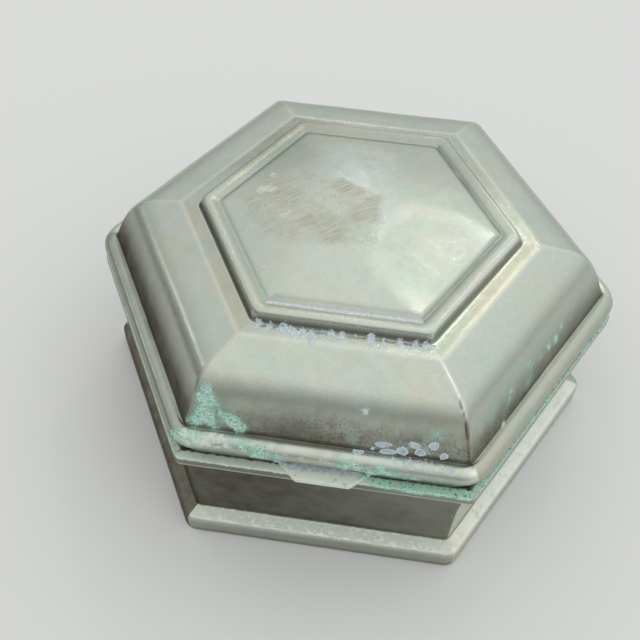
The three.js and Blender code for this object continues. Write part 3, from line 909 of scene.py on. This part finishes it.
def plate_finish(name, colours, shine, green_colour):
    """Worn silvered metal with its tarnish, verdigris, crust and residue, and the painted shade, painted
    light and painted highlights in its colour.
    """
    material, _, shader = new_finish(name)
    p = Patina(material.node_tree)
    medium, fine, dust = p.mottle(3.2, 3.0), p.mottle(0.9, 4.0), p.mottle(0.34, 2.0, 0.35, 0.65)
    wear, grime = p.layer("wear"), p.layer("grime")

    tint = p.blend(p.between(0.35, p.layer("warm"), medium), colours.silvering, colours.warm_metal)
    tint = p.blend(p.times(p.cover(0.45, p.mottle(11, 2.0), 0.25), 0.5), tint, colours.green_metal)
    shade = p.add("ShaderNodeMapRange", {
        "Value": p.between(0.5, fine, dust), "To Min": 0.44, "To Max": 0.56}).outputs[0]
    tint = p.blend(0.6, tint, shade, "OVERLAY")
    # Rubbed bright metal and painted highlights, in one near-white colour.
    tint = p.blend(p.times(wear, 0.9), tint, (0.92, 0.92, 0.85))

    # Tarnished grey-brown, mottled with brown, which is also painted shade.
    tarnish = p.times(p.layer("tarnish"), p.between(medium, 0.85, 1.0))
    tint = p.blend(tarnish, tint, p.blend(p.mottle(6, 2.0), colours.tarnish, colours.brown))
    brown = p.times(grime, p.cover(0.5, p.between(0.3, p.mottle(3.0, 4.0), fine), 0.25))
    tint = p.blend(p.times(brown, 0.55), tint, colours.brown)
    dark = p.cover(p.times(grime, 0.5), p.mottle(0.5, 3.0), 0.2)
    tint = p.blend(p.times(dark, 0.40), tint, colours.tarnish)
    light = p.cover(p.times(grime, 0.36), p.mottle(0.45, 3.0, 0.24, 0.8), 0.12)
    tint = p.blend(p.times(light, 0.5), tint, (0.50, 0.54, 0.50))

    streaks = p.strokes(0.6, 5.0, math.radians(38), 0.36, 0.66)
    clumps = p.between(0.4, p.mottle(1.6, 4.0), streaks)
    residue = p.cover(p.layer("residue"), clumps, 0.62)
    tint = p.blend(p.times(residue, 0.72), tint, p.blend(streaks, colours.residue, colours.residue_pale))
    blotch = p.cover(p.layer("blotch"), p.between(0.4, p.mottle(0.9, 4.0), streaks), 0.22)
    tint = p.blend(p.times(blotch, 0.7), tint, (0.70, 0.73, 0.70))

    # Chalky pale coat, which also stands in for light on the shaded rim top, the tab and the moulding's
    # top.
    bloom = p.cover(p.layer("bloom"), p.between(0.4, p.mottle(1.8, 3.0), fine), 0.30)
    tint = p.blend(
        bloom, tint, p.blend(p.times(p.mottle(1.2, 3.0), 0.6), colours.bloom, colours.bloom_green))

    verdigris = p.layer("verdigris")
    wash = p.times(p.sum("MINIMUM", verdigris, 0.65), p.between(medium, 0.6, 1.3))
    tint = p.blend(wash, tint, colours.green_stain)
    green = p.cover(verdigris, p.between(0.5, p.mottle(0.5, 4.0), p.mottle(1.6, 3.0)), 0.18)
    cell = p.add("ShaderNodeMapRange", {
        "Value": p.cells(0.5), "From Min": 0.15, "From Max": 0.6}).outputs[0]
    green_tint = p.blend(p.times(cell, p.mottle(1.4, 2.0)), colours.verdigris_pale, green_colour)
    green_tint = p.blend(p.cover(0.30, p.mottle(0.5, 3.0), 0.2), green_tint, colours.verdigris_deep)
    tint = p.blend(green, tint, green_tint)

    crust = p.cover(p.layer("crust"), p.between(0.4, dust, fine), 0.18)
    tint = p.blend(crust, tint, p.blend(p.mottle(0.6, 3.0), colours.crust, colours.crust_pale))

    salts = p.most(p.most(green, crust), p.times(blotch, 0.8))
    metallic = p.between(salts, 1.0, 0.0)
    metallic = p.times(metallic, p.between(residue, 1.0, 0.5))
    metallic = p.times(metallic, p.between(tarnish, 1.0, 0.8))
    metallic = p.times(metallic, p.between(wash, 1.0, 0.5))
    metallic = p.times(metallic, p.between(bloom, 1.0, 0.0))
    rough = p.between(p.between(0.5, medium, fine), shine - 0.02, shine + 0.06)
    rough = p.between(p.layer("polish"), rough, p.between(medium, 0.14, 0.17))
    rough = p.between(p.layer("dull"), rough, 0.5)
    rough = p.between(p.times(grime, 0.8), rough, 0.46)
    rough = p.between(p.times(tarnish, 0.5), rough, 0.5)
    rough = p.between(bloom, rough, 0.75)
    rough = p.between(p.times(residue, 0.6), rough, 0.55)
    rough = p.between(salts, rough, 0.88)

    scratches = p.most(p.strokes(0.12, 6.0, 0.6, 0.67, 0.72), p.strokes(0.1, 5.0, -1.1, 0.68, 0.73))
    grit = p.times(dust, p.between(p.layer("grit"), 0.15, 1.3))
    height = p.plus(p.times(fine, 0.25), grit)
    height = p.minus(height, p.times(scratches, 0.25))
    height = p.plus(height, p.times(p.most(salts, grime), p.times(dust, 1.2)))
    bump = p.add("ShaderNodeBump", {"Height": height, "Strength": 0.28, "Distance": 0.0001}).outputs[0]

    # Duller reflections where the metal is tarnished or painted with shade.
    glance = p.blend(tarnish, (1.0, 1.0, 1.0), (0.45, 0.45, 0.42))
    for socket, value in (
        ("Base Color", tint), ("Metallic", metallic), ("Roughness", rough), ("Normal", bump),
        ("Specular Tint", glance),
    ):
        p.tree.links.new(value, shader.inputs[socket])
    return material


def salts_finish(name, deep, pale, size):
    """Dry mineral salts, for the grains of verdigris and the flakes of crust."""
    material, _, shader = new_finish(name)
    p = Patina(material.node_tree)
    share = p.between(0.5, p.mottle(size, 3.0), p.mottle(size * 3, 2.0))
    share = p.most(p.times(share, 0.8), p.times(p.layer("pale"), p.between(share, 0.5, 1.2)))
    shader.inputs["Roughness"].default_value = 0.9
    bump = p.add("ShaderNodeBump", {
        "Height": p.mottle(size * 0.4, 2.0), "Strength": 0.4, "Distance": 0.00008}).outputs[0]
    p.tree.links.new(p.blend(share, deep, pale), shader.inputs["Base Color"])
    p.tree.links.new(bump, shader.inputs["Normal"])
    return material


# The pieces

def tab_mesh(size):
    """The thumb tab: a flat tongue, narrower at its tip, with rounded edges."""
    seat = size.lip_foot + size.lip_depth
    seat_inset, overlap, edge = 0.65, 0.9, 0.32
    root, tip = size.rim_reach - size.bead_radius - seat_inset - overlap, size.tab_reach
    rows = [(root + (tip - edge - root) * step / 12, 0.0) for step in range(13)]
    rows += [(tip - edge + edge * math.sin(a), edge * (1 - math.cos(a)))
             for a in np.radians((22.5, 45, 67.5, 85))]
    half = size.tab_thickness / 2
    points, faces = [], []
    for reach, shrink in rows:
        share = (min(reach, tip) - root) / (tip - root)
        width = (size.tab_root_width + (size.tab_tip_width - size.tab_root_width) * share) / 2 - shrink
        thick = half - shrink
        bend = max(min(edge, thick), 0.02)
        loop = []
        for side, start in ((1, -90), (1, 0), (-1, 90), (-1, 180)):
            up = 1 if start in (0, 90) else -1
            for turn in np.radians(np.linspace(start, start + 90, 5)):
                loop.append((
                    side * (width - bend) + bend * math.cos(turn),
                    up * (thick - bend) + bend * math.sin(turn)))
            if start in (0, 180):
                loop += [(share_across * (width - bend), up * thick)
                         for share_across in np.linspace(side, -side, 32)[1:-1]]
        points += [(across * MM, -reach * MM, (seat + half + up) * MM) for across, up in loop]
    count = len(points) // len(rows)
    for row in range(len(rows) - 1):
        for step in range(count):
            a, b = row * count + step, row * count + (step + 1) % count
            faces.append((a, b, b + count, a + count))
    last = (len(rows) - 1) * count
    faces.append(tuple(range(count))[::-1])
    faces.append(tuple(range(last, last + count)))
    mesh = bpy.data.meshes.new("thumb_tab")
    mesh.from_pydata(points, [], faces)
    tidy_faces(mesh)
    return mesh


def tidy_faces(mesh):
    """Makes the faces triangles that point outwards, shaded smooth."""
    form = bmesh.new()
    form.from_mesh(mesh)
    bmesh.ops.remove_doubles(form, verts=form.verts, dist=1e-7)
    bmesh.ops.triangulate(form, faces=[face for face in form.faces if len(face.verts) > 4])
    bmesh.ops.recalc_face_normals(form, faces=form.faces)
    for face in form.faces:
        face.smooth = True
    form.to_mesh(mesh)
    form.free()
    mesh.update()


def joined(piece, mesh):
    """Joins a closed mesh to a closed piece, so that they are one solid."""
    other = bpy.data.objects.new("joining", mesh)
    bpy.context.scene.collection.objects.link(other)
    modifier = piece.modifiers.new("join", "BOOLEAN")
    modifier.operation, modifier.solver, modifier.object = "UNION", "MANIFOLD", other
    whole = bpy.data.meshes.new_from_object(piece.evaluated_get(bpy.context.evaluated_depsgraph_get()))
    piece.modifiers.remove(modifier)
    dress(whole, piece.data.materials[0])
    whole.name = piece.name
    piece.data = whole
    bpy.data.objects.remove(other)


def finished(piece, node=None):
    """Hands a piece to the frame: it rides on the box, and may stand for a node."""
    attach(piece, "root")
    if node:
        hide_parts(node)
    return piece


def flake_mesh(carrier, places):
    """Flat discs of crust that hug a carrier, each (x, y, z, radius, stretch, rim)."""
    surface = BVHTree.FromPolygons(
        [vertex.co / MM for vertex in carrier.vertices],
        [tuple(face.vertices) for face in carrier.polygons])
    rings, lifts = (0.35, 0.62, 0.8, 0.9, 0.97, 1.03), (0.03, 0.05, 0.09, 0.11, 0.07, -0.12)
    sectors = 30
    points, faces, pale = [], [], []
    for number, (x, y, z, radius, stretch, rim) in enumerate(places):
        centre, normal, _, _ = surface.find_nearest(Vector((x, y, z)))
        across = Vector((0, 0, 1)).cross(normal).normalized()
        upward = normal.cross(across)
        base = len(points)
        loops = [(0.0, 0.0, 0.03, 0.0)]
        for share, lift in zip(rings, lifts):
            for sector in range(sectors):
                turn = 2 * math.pi * sector / sectors
                wobble = 1 + 0.12 * math.sin(2 * turn + number) + 0.08 * math.sin(3 * turn + 2.3 * number)
                wobble += 0.06 * math.sin(7 * turn + 1.7 * number)
                wobble += 0.05 * math.sin(11 * turn + 3.1 * number)
                loops.append((
                    radius * share * wobble * stretch * math.cos(turn),
                    radius * share * wobble * math.sin(turn), lift, rim * (share > 0.7)))
        for right, up, lift, edge in loops:
            place, facing, _, _ = surface.find_nearest(centre + across * right + upward * up)
            points.append((place + facing * lift) * MM)
            pale.append(edge)
        for sector in range(sectors):
            after = (sector + 1) % sectors
            faces.append((base, base + 1 + sector, base + 1 + after))
            for ring in range(len(rings) - 1):
                a, b = base + 1 + ring * sectors + sector, base + 1 + ring * sectors + after
                faces.append((a, a + sectors, b + sectors, b))
        last = base + 1 + (len(rings) - 1) * sectors
        faces.append(tuple(range(last, last + sectors)))
    mesh = bpy.data.meshes.new("crust_flakes")
    mesh.from_pydata(points, [], faces)
    mesh.attributes.new("pale", "FLOAT", "POINT").data.foreach_set("value", np.array(pale, np.float32))
    tidy_faces(mesh)
    return mesh


# Operators

class HEXBOX_OT_body(bpy.types.Operator):
    """Makes the hollow box body with its base moulding, coved wall and rim"""
    bl_idname = "hexbox.make_body"
    bl_label = "Make box body"

    def execute(self, context):
        scene = context.scene
        look = scene.hexbox_finish
        finish = plate_finish("body_plate", look, 0.32, look.verdigris_fresh)
        piece = lofted("box_body_metal", body_profile(in_millimetres(scene.hexbox_body)), finish)
        weather_body(piece.data, *BODY_BOX)
        finished(piece, node="box_body")
        return {"FINISHED"}


class HEXBOX_OT_lid(bpy.types.Operator):
    """Makes the hollow lid with its bead, shoulder, raised frame, domed panel and thumb tab"""
    bl_idname = "hexbox.make_lid"
    bl_label = "Make lid"

    def execute(self, context):
        scene = context.scene
        size = in_millimetres(scene.hexbox_lid)
        look = scene.hexbox_finish
        finish = plate_finish("lid_plate", look, 0.25, look.verdigris)
        piece = lofted("lid_metal", lid_profile(size), finish)
        joined(piece, tab_mesh(size))
        weather_lid(piece.data, *LID_BOX)
        finished(piece, node="lid")
        return {"FINISHED"}


class HEXBOX_OT_salts(bpy.types.Operator):
    """Scatters grains of verdigris, crust and dirt on the metal, and lays flakes of crust by the neck"""
    bl_idname = "hexbox.make_salts"
    bl_label = "Make verdigris and crust"

    def execute(self, context):
        scene = context.scene
        look = scene.hexbox_finish
        green = salts_finish("verdigris_salts", look.verdigris, look.verdigris_pale, 0.5)
        fresh = salts_finish("fresh_salts", look.verdigris_fresh, look.verdigris_pale, 0.5)
        pale = salts_finish("crust_salts", look.crust, look.crust_pale, 0.6)
        dirt = salts_finish("dirt", look.tarnish, look.brown, 0.6)
        tree = grain_tree()
        for name, node, where, least, many, radius, flat, finish in (
            ("lid_verdigris", "lid", "verdigris", 0.16, 2.4, 0.75, 0.6, green),
            ("box_body_verdigris", "box_body", "verdigris", 0.45, 2.6, 0.8, 0.5, fresh),
            ("lid_crust_grains", "lid", "crust", 0.35, 3.6, 0.75, 0.6, pale),
            ("lid_salt_specks", "lid", "verdigris", 0.25, 1.3, 0.7, 0.7, pale),
            ("lid_specks", "lid", "grime", 0.45, 0.20, 0.6, 0.6, pale),
            ("lid_dirt", "lid", "grime", 0.25, 0.22, 0.6, 0.3, dirt),
        ):
            carrier = {"lid": "lid_metal", "box_body": "box_body_metal"}[node]
            grains = grown(
                name, bpy.data.objects[carrier].data.copy(), tree, Where=where, Least=least,
                Count=look.grain_count * many, Radius=look.grain_size * radius, Flatness=flat,
                Seed=look.seed + len(name), Material=finish)
            finished(grains)
        flakes = bpy.data.objects.new(
            "lid_crust_flakes", flake_mesh(bpy.data.objects["lid_metal"].data, CRUST_FLAKES))
        scene.collection.objects.link(flakes)
        flakes.data.materials.append(salts_finish("flake_salts", look.flake, look.crust_pale, 0.9))
        finished(flakes)
        rims = grown(
            "lid_flake_rims", flakes.data.copy(), tree, Where="pale", Least=0.35,
            Count=look.grain_count * 16, Radius=look.grain_size * 0.6, Flatness=0.7,
            Seed=look.seed, Material=pale)
        finished(rims)
        return {"FINISHED"}


class HEXBOX_OT_stage(bpy.types.Operator):
    """Makes the plain pale floor, the soft light and the camera"""
    bl_idname = "hexbox.make_stage"
    bl_label = "Make stage"

    def execute(self, context):
        scene = context.scene
        look = scene.hexbox_finish
        floor_mesh = bpy.data.meshes.new("floor")
        floor_mesh.from_pydata([(-3, -3, 0), (3, -3, 0), (3, 3, 0), (-3, 3, 0)], [], [(0, 1, 2, 3)])
        material, _, shader = new_finish("pale_floor")
        shader.inputs["Base Color"].default_value = (*look.floor, 1.0)
        shader.inputs["Roughness"].default_value = 0.9
        floor_mesh.materials.append(material)
        floor = bpy.data.objects.new("floor", floor_mesh)
        scene.collection.objects.link(floor)

        self.surroundings(scene)
        for name, toward, far, size, radiance, tint in (
            ("sun", (0.185, 0.625, 0.76), 1.2, (0.05, 0.05), 38.0, (1.0, 0.94, 0.74)),
            ("pale_lamp", (-0.048, 0.830, 0.555), 1.2, (0.03, 0.03), 22.0, (0.86, 0.84, 1.0)),
            ("left_lamp", (-0.875, 0.20, 0.445), 1.0, (0.045, 0.045), 11.0, (1.0, 1.0, 1.0)),
            ("left_strip", (-0.86, 0.27, 0.43), 1.0, (0.20, 0.05), 0.35, (1.0, 1.0, 1.0)),
        ):
            self.light(scene, name, Vector(toward).normalized(), far, size, radiance, tint)
        self.camera(scene)
        scene.view_settings.view_transform = "Standard"
        return {"FINISHED"}

    @staticmethod
    def surroundings(scene):
        """Even light from all round, brighter from above and behind the box."""
        world = bpy.data.worlds.new("soft_room")
        world.use_nodes = True
        r = Recipe(world.node_tree)
        direction = r.add("ShaderNodeTexCoord").outputs["Generated"]
        brightest = Vector((0.2, 0.2, 0.96))
        toward = r.add(
            "ShaderNodeVectorMath", {0: direction, 1: brightest},
            operation="DOT_PRODUCT").outputs["Value"]
        strength = r.add("ShaderNodeMapRange", {
            "Value": toward, "From Min": -0.3, "From Max": 0.8,
            "To Min": 0.15, "To Max": 1.02}).outputs[0]
        background = world.node_tree.nodes["Background"]
        background.inputs["Color"].default_value = (0.98, 1.0, 0.99, 1.0)
        r.tree.links.new(strength, background.inputs["Strength"])
        scene.world = world

    @staticmethod
    def light(scene, name, toward, far, size, radiance, tint):
        """A rectangular light that looks at the box from a direction."""
        lamp = bpy.data.lights.new(name, "AREA")
        lamp.color = tint
        lamp.shape, lamp.size, lamp.size_y = "RECTANGLE", *size
        lamp.energy = radiance * math.pi * size[0] * size[1]
        thing = bpy.data.objects.new(name, lamp)
        thing.location = toward * far + Vector((0, 0, 0.04))
        thing.rotation_euler = toward.to_track_quat("Z", "Y").to_euler()
        scene.collection.objects.link(thing)

    @staticmethod
    def camera(scene):
        """The camera as the photograph was taken: down at the front, a little from the right."""
        data = bpy.data.cameras.new("photo_camera")
        data.sensor_fit, data.sensor_width, data.lens = "HORIZONTAL", 36.0, 47.98
        data.clip_start, data.clip_end = 0.01, 20.0
        yaw, pitch, roll = math.radians(-5.87), math.radians(50.84), math.radians(2.79)
        ahead = Vector((
            math.sin(yaw) * math.cos(pitch), math.cos(yaw) * math.cos(pitch), -math.sin(pitch)))
        across = ahead.cross(Vector((0, 0, 1))).normalized()
        upward = across.cross(ahead)
        right = across * math.cos(roll) + upward * math.sin(roll)
        up = upward * math.cos(roll) - across * math.sin(roll)
        thing = bpy.data.objects.new("photo_camera", data)
        thing.matrix_world = Matrix.LocRotScale(
            Vector((0.006326, -0.134304, 0.182976)), Matrix((right, up, -ahead)).transposed(), None)
        scene.collection.objects.link(thing)
        scene.camera = thing


class HEXBOX_PT_panel(bpy.types.Panel):
    """Lists the steps that make the jewelry box"""
    bl_idname = "HEXBOX_PT_panel"
    bl_label = "Jewelry box"
    bl_space_type = "VIEW_3D"
    bl_region_type = "UI"
    bl_category = "Jewelry box"

    def draw(self, context):
        scene = context.scene
        for group in (scene.hexbox_body, scene.hexbox_lid, scene.hexbox_finish):
            box = self.layout.box()
            for name in group.__annotations__:
                box.prop(group, name)
        for operator in OPERATORS:
            self.layout.operator(operator.bl_idname)


GROUPS = {"hexbox_body": BodySizes, "hexbox_lid": LidSizes, "hexbox_finish": Finish}
OPERATORS = (HEXBOX_OT_stage, HEXBOX_OT_body, HEXBOX_OT_lid, HEXBOX_OT_salts)
CLASSES = (*GROUPS.values(), *OPERATORS, HEXBOX_PT_panel)


def register():
    for entry in CLASSES:
        bpy.utils.register_class(entry)
    for name, group in GROUPS.items():
        setattr(bpy.types.Scene, name, PointerProperty(type=group))


def unregister():
    for name in GROUPS:
        delattr(bpy.types.Scene, name)
    for entry in reversed(CLASSES):
        bpy.utils.unregister_class(entry)


def main():
    """Makes the stage and every piece."""
    register()
    bpy.ops.hexbox.make_stage()
    bpy.ops.hexbox.make_body()
    bpy.ops.hexbox.make_lid()
    bpy.ops.hexbox.make_salts()


if __name__ == "__main__":
    main()
